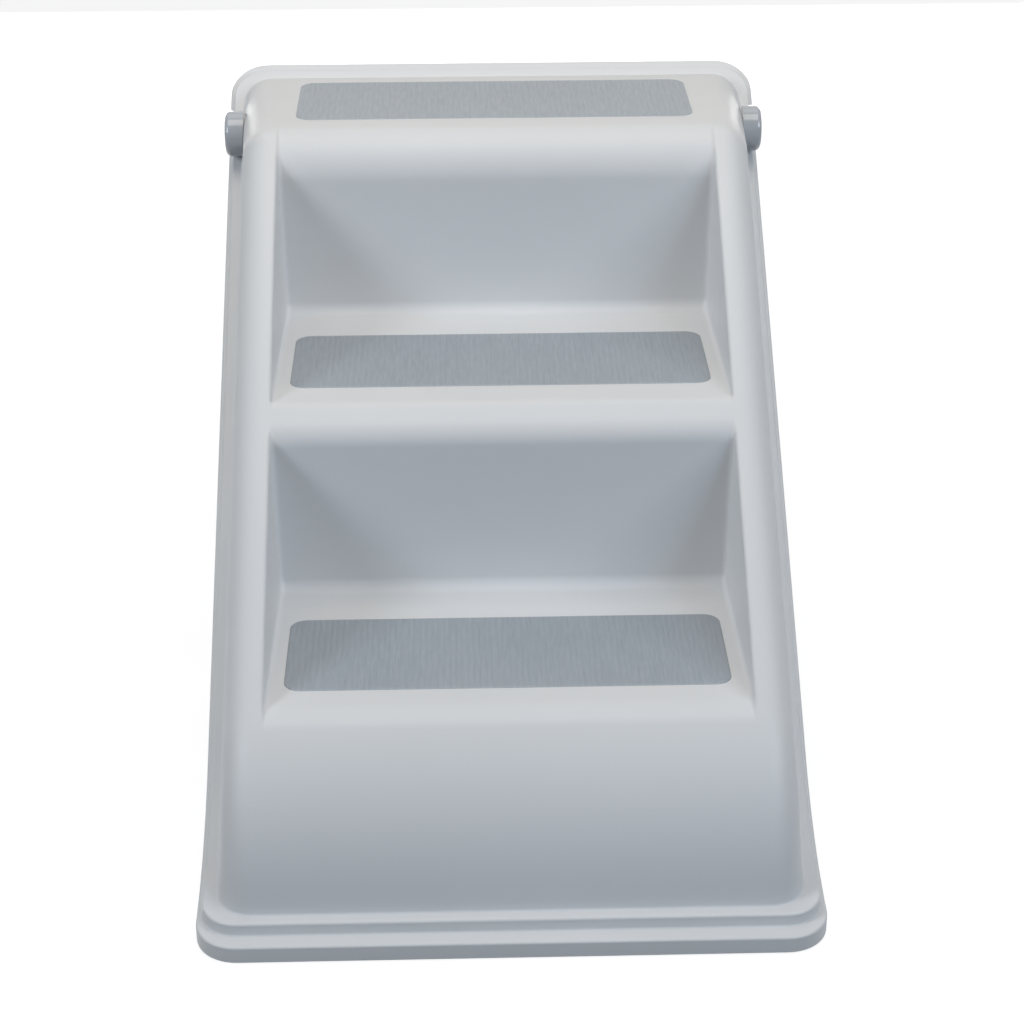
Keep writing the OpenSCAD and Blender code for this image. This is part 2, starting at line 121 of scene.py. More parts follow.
def mouldedGrainGroup():
    # fine spark-eroded grain of a moulding, with slow drifts of tone and gloss
    group, entry, leave = nodeGroup(
        "mouldedGrain",
        [("Tone A", "NodeSocketColor", (0.6, 0.6, 0.6, 1)),
         ("Tone B", "NodeSocketColor", (0.6, 0.6, 0.6, 1)),
         ("Grain Scale", "NodeSocketFloat", 900.0), ("Roughness", "NodeSocketFloat", 0.5)],
        [("Color", "NodeSocketColor"), ("Roughness", "NodeSocketFloat"), ("Height", "NodeSocketFloat")])
    place, detail, swing = placeCoords(group), grainNoise["slowDetail"], grainNoise["glossSwing"]
    drift = spread(group, noise(group, place, grainNoise["driftScale"], detail), 0.0, 1.0,
                   *grainNoise["driftRange"])
    tone = mixColour(group, drift, entry.outputs["Tone A"], entry.outputs["Tone B"])
    cloud = spread(group, noise(group, place, grainNoise["cloudScale"], detail), -swing, swing)
    fine = noise(group, place, entry.outputs["Grain Scale"], grainNoise["fineDetail"], 0.6)
    group.links.new(tone, leave.inputs["Color"])
    group.links.new(combine(group, "ADD", entry.outputs["Roughness"], cloud), leave.inputs["Roughness"])
    group.links.new(fine, leave.inputs["Height"])
    return group


streakNoise = {"streakStretch": (1, 0.09, 0.2), "streakRange": (0.32, 0.68),
               "patchStretch": (1, 0.5, 1), "patchScale": 14.0, "patchRange": (0.35, 0.65),
               "fleckStretch": (1, 0.3, 1), "fleckScale": 700.0, "fleckHeight": 0.35,
               "grooveShadeRange": (0.35, 0.95), "detail": 3.0}


def streakAndGrooveShadeGroup():
    # the grooves between the ribs of a mat, darkened with painted shade and dirt, and thin streaks that run
    # along them
    group, entry, leave = nodeGroup(
        "streakAndGrooveShade",
        [("Rib Pitch", "NodeSocketFloat", 0.004), ("Streak Scale", "NodeSocketFloat", 260.0)],
        [("Groove Shade", "NodeSocketFloat"), ("Streak", "NodeSocketFloat"), ("Patch", "NodeSocketFloat"),
         ("Height", "NodeSocketFloat")])
    s, scale = streakNoise, entry.outputs["Streak Scale"]
    grooveShadeBands = addNode(group, "ShaderNodeTexWave", wave_type="BANDS", bands_direction="X", wave_profile="SIN")
    grooveShadeBands.inputs["Distortion"].default_value = 0.0
    # the wave texture repeats every pi / 10 over its scale
    perPitch = combine(group, "DIVIDE", math.pi / 10, entry.outputs["Rib Pitch"])
    group.links.new(placeCoords(group), grooveShadeBands.inputs["Vector"])
    group.links.new(perPitch, grooveShadeBands.inputs["Scale"])
    thin = noise(group, placeCoords(group, s["streakStretch"]), scale, s["detail"], 0.6)
    patch = noise(group, placeCoords(group, s["patchStretch"]), s["patchScale"], s["detail"])
    fleck = noise(group, placeCoords(group, s["fleckStretch"]), s["fleckScale"])
    height = combine(group, "ADD", thin, spread(group, fleck, 0.0, s["fleckHeight"]))
    # the groove mask darkens the rubber between the ribs with painted shade and dirt
    for label, value, limits in (("Groove Shade", grooveShadeBands.outputs["Fac"], s["grooveShadeRange"]),
                                 ("Streak", thin, s["streakRange"]), ("Patch", patch, s["patchRange"])):
        group.links.new(spread(group, value, 0.0, 1.0, *limits), leave.inputs[label])
    group.links.new(height, leave.inputs["Height"])
    return group


groups = {"grain": mouldedGrainGroup(), "streakAndShade": streakAndGrooveShadeGroup()}
print("node groups built")


def newMaterial(name, **constants):
    material = bpy.data.materials.new(name)
    material.use_nodes = True
    tree = material.node_tree
    shader = tree.nodes["Principled BSDF"]
    for key, value in constants.items():
        shader.inputs[key.replace("_", " ")].default_value = value
    return material, tree, shader


def bumpInto(tree, shader, height, strength, distance):
    bump = addNode(tree, "ShaderNodeBump")
    bump.inputs["Strength"].default_value = strength
    bump.inputs["Distance"].default_value = distance
    tree.links.new(height, bump.inputs["Height"])
    tree.links.new(bump.outputs["Normal"], shader.inputs["Normal"])


def grainMaterial(name, look):
    material, tree, shader = newMaterial(name, **look.get("constants", {}))
    grain = addNode(tree, "ShaderNodeGroup", node_tree=groups["grain"])
    grain.inputs["Tone A"].default_value = (*look["toneA"], 1)
    grain.inputs["Tone B"].default_value = (*look["toneB"], 1)
    grain.inputs["Grain Scale"].default_value = look["grainScale"]
    grain.inputs["Roughness"].default_value = look["roughness"]
    tree.links.new(grain.outputs["Color"], shader.inputs["Base Color"])
    tree.links.new(grain.outputs["Roughness"], shader.inputs["Roughness"])
    bumpInto(tree, shader, grain.outputs["Height"], look["bump"], look["bumpDepth"])
    return material


def ribbedRubber(name, look):
    material, tree, shader = newMaterial(name, Specular_IOR_Level=look["specular"])
    streakAndShade = addNode(tree, "ShaderNodeGroup", node_tree=groups["streakAndShade"])
    streakAndShade.inputs["Rib Pitch"].default_value = look["ribPitch"] * mm
    streakAndShade.inputs["Streak Scale"].default_value = look["streakScale"]
    colour = mixColour(tree, streakAndShade.outputs["Patch"], (*look["toneA"], 1), (*look["toneB"], 1))
    # the streaks lighten the rubber; the groove tone darkens the grooves between the ribs with painted shade
    # and dirt
    for label, tone, most in (("Streak", "worn", "streakShare"), ("Groove Shade", "grooveShadeAndDirt", "grooveShadeShare")):
        factor = combine(tree, "MULTIPLY", streakAndShade.outputs[label], look[most])
        colour = mixColour(tree, factor, colour, (*look[tone], 1))
    tree.links.new(colour, shader.inputs["Base Color"])
    tree.links.new(spread(tree, streakAndShade.outputs["Streak"], *look["roughness"], 0, 1),
                   shader.inputs["Roughness"])
    bumpInto(tree, shader, streakAndShade.outputs["Height"], look["bump"], look["bumpDepth"])
    return material


finishes = {
    "shell": {"toneA": (0.688, 0.692, 0.695), "toneB": (0.7, 0.702, 0.706), "grainScale": 850.0,
              "roughness": 0.46, "bump": 0.12, "bumpDepth": 0.00025,
              "constants": {"Specular_IOR_Level": 0.3}},
    "leg": {"toneA": (0.575, 0.582, 0.596), "toneB": (0.59, 0.592, 0.61), "grainScale": 850.0,
            "roughness": 0.5, "bump": 0.12, "bumpDepth": 0.00025,
            "constants": {"Specular_IOR_Level": 0.35}},
    "cap": {"toneA": (0.36, 0.385, 0.42), "toneB": (0.375, 0.4, 0.432), "grainScale": 300.0,
            "roughness": 0.14, "bump": 0.02, "bumpDepth": 0.0001,
            "constants": {"Coat_Weight": 0.6, "Coat_Roughness": 0.06}},
    "pin": {"toneA": (0.6, 0.61, 0.62), "toneB": (0.66, 0.66, 0.65), "grainScale": 1200.0,
            "roughness": 0.3, "bump": 0.1, "bumpDepth": 0.0001, "constants": {"Metallic": 1.0}},
    "bush": {"toneA": (0.74, 0.74, 0.71), "toneB": (0.78, 0.77, 0.73), "grainScale": 700.0,
             "roughness": 0.42, "bump": 0.05, "bumpDepth": 0.0001, "constants": {}},
    "foot": {"toneA": (0.045, 0.047, 0.052), "toneB": (0.06, 0.061, 0.066), "grainScale": 600.0,
             "roughness": 0.72, "bump": 0.3, "bumpDepth": 0.0003, "constants": {}},
}
# the groove tone and its share are painted shade and dirt in the grooves between the ribs
rubberMat = {
    "toneA": (0.285, 0.318, 0.352), "toneB": (0.305, 0.338, 0.371), "worn": (0.43, 0.465, 0.497),
    "grooveShadeAndDirt": (0.22, 0.25, 0.28), "grooveShadeShare": 0.12, "streakShare": 0.32, "specular": 0.8,
    "roughness": (0.5, 0.4), "ribPitch": 4.0, "streakScale": 640.0, "bump": 0.15, "bumpDepth": 0.0003,
}
materials = {slot: grainMaterial(slot + "Finish", look) for slot, look in finishes.items()}
materials["mat"] = ribbedRubber("matFinish", rubberMat)
print("materials built:", len(materials))


# mesh helpers; lengths are in millimetres until cleanMesh, which makes them metres

mergeWithin = 2e-6    # metres
tiny = 1e-6


def cleanMesh(points, faces):
    # points that coincide become one, and the faces look outward
    data = bpy.data.meshes.new("draft")
    data.from_pydata([tuple(float(v) * mm for v in p) for p in points], [], faces)
    mesh = bmesh.new()
    mesh.from_mesh(data)
    bpy.data.meshes.remove(data)
    bmesh.ops.remove_doubles(mesh, verts=mesh.verts, dist=mergeWithin)
    bmesh.ops.dissolve_degenerate(mesh, edges=mesh.edges, dist=mergeWithin / 2)
    bmesh.ops.recalc_face_normals(mesh, faces=mesh.faces)
    return mesh


def evenNormals(obj):
    obj.modifiers.new("evenNormals", "WEIGHTED_NORMAL").keep_sharp = True
    obj.data.shade_smooth()


def makeObject(name, points, faces, slot, node):
    # all new pieces belong to the stairs; the leg keeps its own nodes
    mesh = cleanMesh(points, faces)
    data = bpy.data.meshes.new(name)
    mesh.to_mesh(data)
    mesh.free()
    data.materials.append(materials[slot])
    obj = bpy.data.objects.new(name, data)
    bpy.context.scene.collection.objects.link(obj)
    evenNormals(obj)
    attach(obj, "stairs")
    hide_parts(node)


def gather(parts):
    points, faces = [], []
    for partPoints, partFaces in parts:
        start = len(points)
        points.extend(tuple(p) for p in partPoints)
        faces.extend(tuple(start + i for i in face) for face in partFaces)
    return points, faces


def between(first, last, count):
    # the inner ones of count evenly spaced places
    return [first + (last - first) * t for t in np.linspace(0, 1, count)[1:-1]]


def gridFaces(rows, columns):
    return [(i * columns + j, i * columns + j + 1, (i + 1) * columns + j + 1, (i + 1) * columns + j)
            for i in range(rows - 1) for j in range(columns - 1)]


def turned(v):
    return np.array([-v[1], v[0]])


def unit(v):
    return v / np.linalg.norm(v)


def meet(p, d, q, e):
    cross = d[0] * e[1] - d[1] * e[0]
    gap = q - p
    return p + d * (gap[0] * e[1] - gap[1] * e[0]) / cross


def roundedCorner(before, corner, after, radius, steps):
    # the arc that rounds a corner of the side view, seen from a place before it to one after it
    a, b = unit(before - corner), unit(after - corner)
    half = math.acos(np.clip(a @ b, -1, 1)) / 2
    centre = corner + unit(a + b) * radius / math.sin(half)
    first = corner + a * radius / math.tan(half) - centre
    last = corner + b * radius / math.tan(half) - centre
    sweep = math.atan2(first[0] * last[1] - first[1] * last[0], first @ last)
    return [centre + math.cos(t) * first + math.sin(t) * turned(first)
            for t in np.linspace(0, sweep, steps + 1)]


# the step shell: one moulding, skinned outside and inside from the same rows

shell = {
    "rise": 135.0, "run": 178.0, "treadDepth": 162.0, "stepWidth": 313.0,
    "noseR": 12.0, "lowNoseR": 36.0, "topNoseR": 32.0, "mouthOver": 0.3,
    "barDepth": 24.0, "barR": 19.0, "creaseR": 9.0,
    "width": 405.0, "wall": 3.5, "lipHeight": 12.0, "lipShelf": 12.0, "lipSide": 3.5,
    "ledgeHeight": 9.0, "ledgeShelf": 8.5, "ledgeSide": 8.0, "wallDraft": 6.0,
    "lipCornerR": 28.0, "ledgeCornerR": 24.0, "edgeR": 22.0, "toeReach": 81.0, "toeR": 220.0,
    "panelR": 145.0, "panelLean": 6.0, "rimPast": 227.0, "footProud": 1.0,
    "recessEdgeR": 2.6, "recessFootR": 4.0, "recessOut": 0.6, "draftShare": 0.015,
    "innerEdgeR": 0.4, "innerRecessIn": 0.5,
    "rimEdgeR": 1.7, "rimFootR": 1.3, "wallFootR": 1.8, "lowEdgeR": 0.8,
}
# how the skin's grid is divided: its rows up the slope, and its columns out to the side
canalSteps = 12
skinRows = {"foot": 3, "bend": 20, "between": 5, "level": 9, "back": 11, "tread": 9, "riser": 9,
            "lowNose": 10, "nose": 7, "crease": 9, "bar": 9, "topNose": 24}
skinColumns = {"floor": 12, "bend": 6, "topStrip": 0.4, "footStrip": 0.6, "railShare": 0.9,
               "side": (0.03, 0.2, 0.4, 0.6, 0.8, 0.97, 1.0)}
slope = math.atan2(shell["rise"], shell["run"])
draft = math.radians(shell["wallDraft"])
up = np.array([math.cos(slope), math.sin(slope)])        # up along the slope, in (y, z)
off = np.array([-math.sin(slope), math.cos(slope)])      # square to the slope
level, upright = np.array([1.0, 0.0]), np.array([0.0, 1.0])
stepS = math.hypot(shell["run"], shell["rise"])
rimS = stepS + shell["rimPast"]
crestN = shell["treadDepth"] * math.sin(slope)
depth = (shell["toeReach"] + shell["treadDepth"] + rimS * math.cos(slope)
         + shell["lipHeight"] * math.sin(slope))
frontY = -depth / 2
noseY = frontY + shell["toeReach"]
backCorner = np.array([noseY + shell["treadDepth"], shell["rise"]])    # s and n are measured from here
toeZ = shell["footProud"] + shell["lipHeight"]
topZ = 3 * shell["rise"]
lipX = shell["width"] / 2
bodyX = lipX - shell["lipSide"] - shell["ledgeSide"]
endInset = shell["lipShelf"] + shell["ledgeShelf"]
footMargin = 6.0    # from the panel's foot to the first row


def along(s, n):
    return backCorner + s * up + n * off


def slopeCoords(p):
    return np.array([(p - backCorner) @ up, (p - backCorner) @ off])


def atLevel(n, z):
    return np.array([backCorner[0] + ((z - shell["rise"]) * up[0] - n) / up[1], z])


def wallAt(p):
    return bodyX - (slopeCoords(np.array(p))[1] - shell["ledgeHeight"]) * math.tan(draft)


# the front panel leans at its foot and bends over onto the crest; the crest bends onto the top level
lean = math.radians(shell["panelLean"])
panelUp = np.array([math.sin(lean), math.cos(lean)])
panelOut = np.array([-math.cos(lean), math.sin(lean)])
panelFoot = np.array([frontY + endInset, toeZ + shell["ledgeHeight"]])
panelBend = meet(panelFoot - panelOut * shell["panelR"], panelUp, along(0, crestN - shell["panelR"]), up)
panelLength = (panelBend - panelFoot + panelOut * shell["panelR"]) @ panelUp
topNose = atLevel(crestN - shell["edgeR"], topZ - shell["edgeR"])
topBack = meet(topNose, level, along(rimS - endInset - shell["edgeR"], 0), off)

# the rim in the side view: level at the toe, then an arc, then the slope; h is the height over it
toeTangentY = atLevel(0, toeZ)[0] - shell["toeR"] * math.tan(slope / 2)
arcEndS = slopeCoords(np.array([toeTangentY + shell["toeR"] * math.sin(slope),
                                toeZ + shell["toeR"] * (1 - math.cos(slope))]))[0]


def rimAt(u, h):
    if u <= 0:
        return np.array([toeTangentY + u, toeZ + h])
    turn = u / shell["toeR"]
    if turn <= slope:
        r = shell["toeR"] - h
        return np.array([toeTangentY + r * math.sin(turn), toeZ + shell["toeR"] - r * math.cos(turn)])
    return along(arcEndS + u - shell["toeR"] * slope, h)


def rimFromY(y, h):
    if y <= toeTangentY:
        return y - toeTangentY
    return shell["toeR"] * math.asin((y - toeTangentY) / (shell["toeR"] - h))


def rimFromS(s):
    return shell["toeR"] * slope + s - arcEndS


def footHeight(g):
    return shell["ledgeHeight"] + (shell["wallFootR"] if g == 0 else -g)


def railAt(centre):
    return wallAt(centre) - shell["edgeR"] / math.cos(draft)


def sideLift(centre, g):
    # how far round its edge the body has come where it meets the ledge; the top end is cut short there
    lift = (footHeight(g) - slopeCoords(centre)[1]) / (shell["edgeR"] - g)
    return max(lift, math.sin(draft))


def floorProfile(k, g):
    # nose, tread, crease, riser and head of recess k, let into the moulding by g
    nose = np.array([noseY + k * shell["run"], (k + 1) * shell["rise"]])
    corner = nose + np.array([shell["treadDepth"], 0])
    bar = nose + np.array([shell["run"], shell["rise"]]) - shell["barDepth"] * up
    riser = unit(bar - corner)
    low, crest, back = nose - np.array([0, g]), along(0, crestN - g), corner - g * turned(riser)
    front, foot = meet(low, level, crest, up), meet(low, level, back, riser)
    head = meet(back, riser, crest, up)
    noseR, noseSteps = (shell["lowNoseR"], "lowNose") if k == 0 else (shell["noseR"], "nose")
    noseArc = roundedCorner(front - up, front, foot, noseR - g, skinRows[noseSteps])
    creaseArc = roundedCorner(front, foot, head, shell["creaseR"] + g, skinRows["crease"])
    if k == 0:
        headArc = roundedCorner(foot, head, head + up, shell["barR"] - g, skinRows["bar"])
    else:
        head = meet(back, riser, np.array([0, topZ - g + shell["mouthOver"]]), level)
        headArc = roundedCorner(foot, head, head + level, shell["topNoseR"] - g, skinRows["topNose"])
    tread = between(noseArc[-1], creaseArc[0], skinRows["tread"])
    wall = between(creaseArc[-1], headArc[0], skinRows["riser"])
    return noseArc + tread + creaseArc + wall + headArc


def rowThrough(p, g):
    # the row of the body's rounding whose floor runs through a point of the recess
    edgeR = shell["edgeR"]
    s, n = slopeCoords(p)
    if s < slopeCoords(panelBend)[0]:
        outward = unit(p - panelBend)
        gap = shell["panelR"] - g - np.linalg.norm(p - panelBend)
        centre = panelBend + (shell["panelR"] - edgeR) * outward
    elif s <= slopeCoords(topNose)[0]:
        outward, gap, centre = off, crestN - g - n, along(s, crestN - edgeR)
    elif p[0] < topNose[0]:
        outward, centre = unit(p - topNose), topNose
        gap = edgeR - g - np.linalg.norm(p - topNose)
    else:
        outward, gap, centre = upright, topZ - g - p[1], np.array([p[0], topNose[1]])
    return centre, outward, max(gap, 0), 0


def rowsRound(centre, arm, first, last, count):
    turns = np.linspace(first, last, count)
    directions = [np.array([math.cos(turn), math.sin(turn)]) for turn in turns]
    return [(centre + arm * direction, direction, 0, 1) for direction in directions]


def bodyRows(g):
    # each row: centre of the edge rounding, outward direction, depth of the recess floor, column spacing
    edgeR, panelArm = shell["edgeR"], shell["panelR"] - shell["edgeR"]
    lower, upper = ([rowThrough(p, g) for p in floorProfile(k, g)] for k in range(2))
    rows = [(panelFoot + panelUp * a - panelOut * edgeR, panelOut, 0, 1)
            for a in np.linspace(footMargin, panelLength, skinRows["foot"])[:-1]]
    bendEnd = math.atan2(lower[0][1][1], lower[0][1][0])
    rows += rowsRound(panelBend, panelArm, math.pi - lean, bendEnd, skinRows["bend"])[:-1]
    fromS, toS = slopeCoords(lower[-1][0])[0], slopeCoords(upper[0][0])[0]
    rows += lower
    rows += [(along(s, crestN - edgeR), off, 0, 0) for s in between(fromS, toS, skinRows["between"])]
    rows += upper
    rows += [(centre, upright, 0, 1) for centre in between(upper[-1][0], topBack, skinRows["level"])]
    backEnd = slope + math.asin(sideLift(topBack, g))
    return rows + rowsRound(topBack, 0, math.pi / 2, backEnd, skinRows["back"])


def bendShare(t, bend):
    return math.sin(t * bend) / math.sin(bend) if bend > tiny else t


def sectionAcross(row, g):
    # half of one row, from the middle of the stairs to the side, as (x, y, z)
    centre, outward, drop, loose = row
    edgeR, railX = shell["edgeR"] - g, railAt(centre)
    wallX, topR, footR = shell["stepWidth"] / 2, shell["innerEdgeR"], shell["recessFootR"] + g
    if g == 0:
        wallX, topR = wallX + shell["recessOut"], shell["recessEdgeR"]
    else:
        wallX += g - shell["innerRecessIn"]
    total = topR + footR
    bend = math.acos(1 - min(drop, total) / total)
    straight = max(drop - total, 0)
    topStrip = min(skinColumns["topStrip"] + loose, (railX - wallX) * skinColumns["railShare"])
    topE = max(topR * math.sin(bend), topStrip)
    footE = max(footR * math.sin(bend), skinColumns["footStrip"] + 2 * loose)
    middle = loose if drop == 0 else 0
    wallTop = topR * (1 - math.cos(bend))
    columns = [(t * (wallX - footE), drop) for t in np.linspace(0, 1, skinColumns["floor"])[:-1]]
    for t in np.linspace(0, 1, skinColumns["bend"]):
        x = wallX - footE + (footE - middle) * bendShare(t, bend)
        columns.append((x, drop - footR * (1 - math.cos(t * bend))))
    for t in (1 / 3, 2 / 3):
        columns.append((wallX - middle * (1 - t), wallTop + straight * (1 - t)))
    for t in np.linspace(1, 0, skinColumns["bend"]):
        columns.append((wallX + topE * (1 - bendShare(t, bend)), topR * (1 - math.cos(t * bend))))
    surface = centre + outward * edgeR
    half = []
    for x, d in columns:
        drawnIn = 1 - shell["draftShare"] * d / wallX if x <= wallX else 1
        half.append((x * drawnIn, *(surface - outward * d)))
    lift = sideLift(centre, g)
    first, side = np.array([0, *outward]), np.array([math.sqrt(1 - lift ** 2), *(lift * off)])
    whole = math.acos(np.clip(first @ side, -1, 1))
    for t in np.linspace(0, 1, canalSteps + 1):
        direction = (math.sin((1 - t) * whole) * first + math.sin(t * whole) * side) / math.sin(whole)
        half.append(tuple(np.array([railX, *centre]) + edgeR * direction))
    return half, railX


def ringAt(edgeAt, inset, cornerR, h, shares, topCorner=None):
    # half of a closed line round the stairs; edgeAt gives its half-width at a place of the side view,
    # topCorner the radius of its corners at the top end and the place of their centre across the stairs
    frontShares, sideShares, backShares = shares
    points = []
    toeY, topS = frontY + inset + cornerR, rimS - inset - cornerR
    uLow, uHigh = rimFromY(toeY, h), rimFromS(topS)
    toeX = edgeAt(rimAt(uLow, h)) - cornerR
    topR, topX = topCorner or (cornerR, edgeAt(along(topS, h)) - cornerR)
    turns = np.linspace(0, math.pi / 2, canalSteps + 1)
    for share in frontShares:
        points.append((share * toeX, frontY + inset, rimAt(rimFromY(frontY + inset, h), h)[1]))
    for turn in turns[1:]:
        y = toeY - cornerR * math.cos(turn)
        points.append((toeX + cornerR * math.sin(turn), y, rimAt(rimFromY(y, h), h)[1]))
    for share in sideShares:
        place = rimAt(uLow + share * (uHigh - uLow), h)
        points.append((edgeAt(place), *place))
    for turn in turns[::-1]:
        points.append((topX + topR * math.sin(turn), *along(topS + topR * math.cos(turn), h)))
    for share in backShares[::-1][1:]:
        points.append((share * topX, *along(topS + topR, h)))
    return points


def bodyRing(grow, h, g, shares):
    edgeR = shell["edgeR"] - g

    def edgeAt(place):
        centre = meet(topNose, level, np.array(place), off)
        lift = sideLift(centre, g)
        if lift <= math.sin(draft):
            return wallAt(place) + (grow - g) / math.cos(draft)
        return railAt(centre) + edgeR * math.sqrt(1 - lift ** 2) + grow

    topCorner = (edgeR * math.sqrt(1 - sideLift(topBack, g) ** 2) + grow, railAt(topBack))
    return ringAt(edgeAt, endInset + g - grow, edgeR + grow, h, shares, topCorner)


def skin(g):
    # the grid of one skin, the shares at which its columns meet the rim, and its foot
    rows = bodyRows(g)
    sections, railXs = zip(*(sectionAcross(row, g) for row in rows))
    across = len(sections[0]) - canalSteps
    outline = np.array([row[0] + row[1] * shell["edgeR"] for row in rows])
    walked = np.concatenate([[0], np.cumsum(np.linalg.norm(np.diff(outline, axis=0), axis=1))])
    shares = ([p[0] / railXs[0] for p in sections[0][:across]],
              (walked + footMargin) / (walked[-1] + 2 * footMargin),
              [p[0] / railXs[-1] for p in sections[-1][:across]])
    foot = bodyRing(0, footHeight(g), g, shares)
    wide = across + canalSteps
    front, side, back = foot[:wide], foot[wide:wide + len(rows)], foot[wide + len(rows):][::-1]
    steps = skinColumns["side"]
    grid = [front + front[-1:] * len(steps)]
    for section, low in zip(sections, side):
        top = np.array(section[-1])
        grid.append(section + [tuple(top + (np.array(low) - top) * t) for t in steps])
    grid.append(back + back[-1:] * len(steps))
    return grid, shares, foot


def rimRings(shares, g):
    # from the body's foot out over the ledge and the lip, round its edge and back up inside
    r, f, w, edge = shell["rimEdgeR"], shell["rimFootR"], shell["wallFootR"], shell["lowEdgeR"]
    lipR, ledgeR = shell["lipCornerR"], shell["ledgeCornerR"]
    lipEnd, lipSide, high, low = (shell["lipShelf"], shell["lipSide"], shell["ledgeHeight"],
                                  -shell["lipHeight"])
    quarter = [math.radians(a) for a in (0, 22.5, 45, 67.5, 90)]
    rings = []

    def lipRing(back, h):
        rings.append(ringAt(lambda place: lipX - back, back, lipR - back, h, shares))

    def ledgeRing(back, h):
        rings.append(ringAt(lambda place: lipX - lipSide - back, lipEnd + back, ledgeR - back, h, shares))

    for t in quarter[1:]:
        rings.append(bodyRing(w * (1 - math.cos(t)), high + w * (1 - math.sin(t)), 0, shares))
    for t in quarter:
        ledgeRing(r * (1 - math.sin(t)), high - r * (1 - math.cos(t)))
    for t in quarter:
        ledgeRing(-f * (1 - math.cos(t)), f * (1 - math.sin(t)))
    for t in quarter:
        lipRing(r * (1 - math.sin(t)), -r * (1 - math.cos(t)))
    for t in quarter:
        lipRing(edge * (1 - math.cos(t)), low + edge * (1 - math.sin(t)))
    lipRing(g - edge / 2, low)
    lipRing(g, low + edge / 2)
    lipRing(g, -g)
    ledgeRing(g, -g)
    ledgeRing(g, high - g)
    return rings


def takeApart(mesh, scale=1):
    # the points and faces of a mesh that isn't needed after this
    mesh.verts.index_update()
    points = [tuple(c * scale for c in v.co) for v in mesh.verts]
    faces = [tuple(v.index for v in f.verts) for f in mesh.faces]
    mesh.free()
    return points, faces


plates = {"softEdge": 0.4, "sharpAngle": 0.9}


def flatPlate(outline, x1, x2):
    # a thin plate drawn in the side view, with its edges softened
    mesh = bmesh.new()
    base = mesh.faces.new([mesh.verts.new((x1, p[0], p[1])) for p in outline])
    lifted = bmesh.ops.extrude_face_region(mesh, geom=[base])["geom"]
    corners = [v for v in lifted if isinstance(v, bmesh.types.BMVert)]
    bmesh.ops.translate(mesh, verts=corners, vec=(x2 - x1, 0, 0))
    sharp = [e for e in mesh.edges if len(e.link_faces) == 2 and e.calc_face_angle(0) > plates["sharpAngle"]]
    bmesh.ops.bevel(mesh, geom=sharp, offset=plates["softEdge"], segments=2, affect="EDGES", profile=0.5)
    return takeApart(mesh)


ribs = {"thickness": 2.5, "pitch": 60.0, "line": 30.0, "toeSteps": 12}


def ribOutlines():
    # the ribs hang from the middle of the skin down to a line over the folded leg
    roof = [centre + outward * (shell["edgeR"] - drop - shell["wall"] / 2)
            for centre, outward, drop, loose in bodyRows(0)]
    runs, piece = [], []
    for point in roof:
        if slopeCoords(point)[1] > ribs["line"]:
            piece.append(point)
        elif piece:
            runs.append(piece)
            piece = []
    runs = [run for run in runs + [piece] if len(run) > 2]
    closed = []
    for run in runs:
        first, last = (along(slopeCoords(p)[0], ribs["line"]) for p in (run[0], run[-1]))
        closed.append([first] + run + [last])
    # the foremost rib reaches down onto the rim at the toe
    toe, start = closed[0], runs[0][0][0]
    stepY = noseY + shell["treadDepth"] / 2
    stepHigh = along((stepY - along(0, ribs["line"])[0]) / up[0], ribs["line"])
    onRim = np.linspace(rimFromY(stepY, 0), rimFromY(start, 0), ribs["toeSteps"])
    closed[0] = toe[1:] + [stepHigh] + [rimAt(u, 0) for u in onRim]
    return closed


hinge = {"back": 84.0, "lift": 27.0, "armR": 14.5, "armInX": 161.7, "armThick": 13.0, "lean": 10.5,
         "sideGap": 0.3, "stopShort": 1.7, "stopKnee": 3.0, "boreR": 5.06,
         "bossR": 13.0, "bossX": 176.5, "bossLength": 10.6, "bossEdgeR": 0.5,
         "hubR": 14.1, "hubLength": 5.0, "hubEdge": 0.3, "sides": 64}
pivot = along(rimS - hinge["back"], hinge["lift"])


def stopOutlines():
    # the plate that the opened leg leans on, and the gusset behind it
    lean = math.radians(hinge["lean"])
    face, rear = np.array([math.sin(lean), -math.cos(lean)]), np.array([math.cos(lean), math.sin(lean)])
    top = pivot + rear * (hinge["armR"] + hinge["sideGap"]) + face * hinge["armR"]
    low = meet(top, face, along(0, shell["wall"] - shell["lipHeight"]), up)
    thick, rimLow = rear * shell["wall"], along(0, -shell["lipHeight"])
    plate = [top, low, low + thick, top + thick]
    gusset = [top, low, meet(low, rear, rimLow, up), meet(top, rear, rimLow, up)]
    return plate, gusset


def lathe(profile, centreX, sides, sign):
    # profile of (distance out from centreX, radius), turned round the hinge's axis;
    # where it ends as it starts, it makes a ring
    closed = profile[0] == profile[-1]
    profile = profile[:-1] if closed else profile
    points, faces = [], []
    for out, radius in profile:
        for i in range(sides):
            a = 2 * math.pi * i / sides
            y, z = pivot + radius * np.array([math.sin(a), math.cos(a)])
            points.append((sign * (centreX + out), y, z))
    for ring in range(len(profile) - (0 if closed else 1)):
        start, end = ring * sides, (ring + 1) % len(profile) * sides
        for i in range(sides):
            j = (i + 1) % sides
            faces.append((start + i, start + j, end + j, end + i))
    return points, faces


def shellSkin():
    outer, shares, outerFoot = skin(0)
    inner, _, innerFoot = skin(shell["wall"])
    rim = [outerFoot] + rimRings(shares, shell["wall"]) + [innerFoot]
    parts = []
    for sign in (1, -1):
        for grid in (outer, inner, rim):
            points = [(sign * x, y, z) for row in grid for x, y, z in row]
            parts.append((points, gridFaces(len(grid), len(grid[0]))))
    mesh = cleanMesh(*gather(parts))
    openEdges = sum(len(e.link_faces) != 2 for e in mesh.edges)
    print("shell skin:", len(mesh.verts), "points,", len(mesh.faces), "faces,", openEdges, "open edges")
    return takeApart(mesh, 1 / mm)


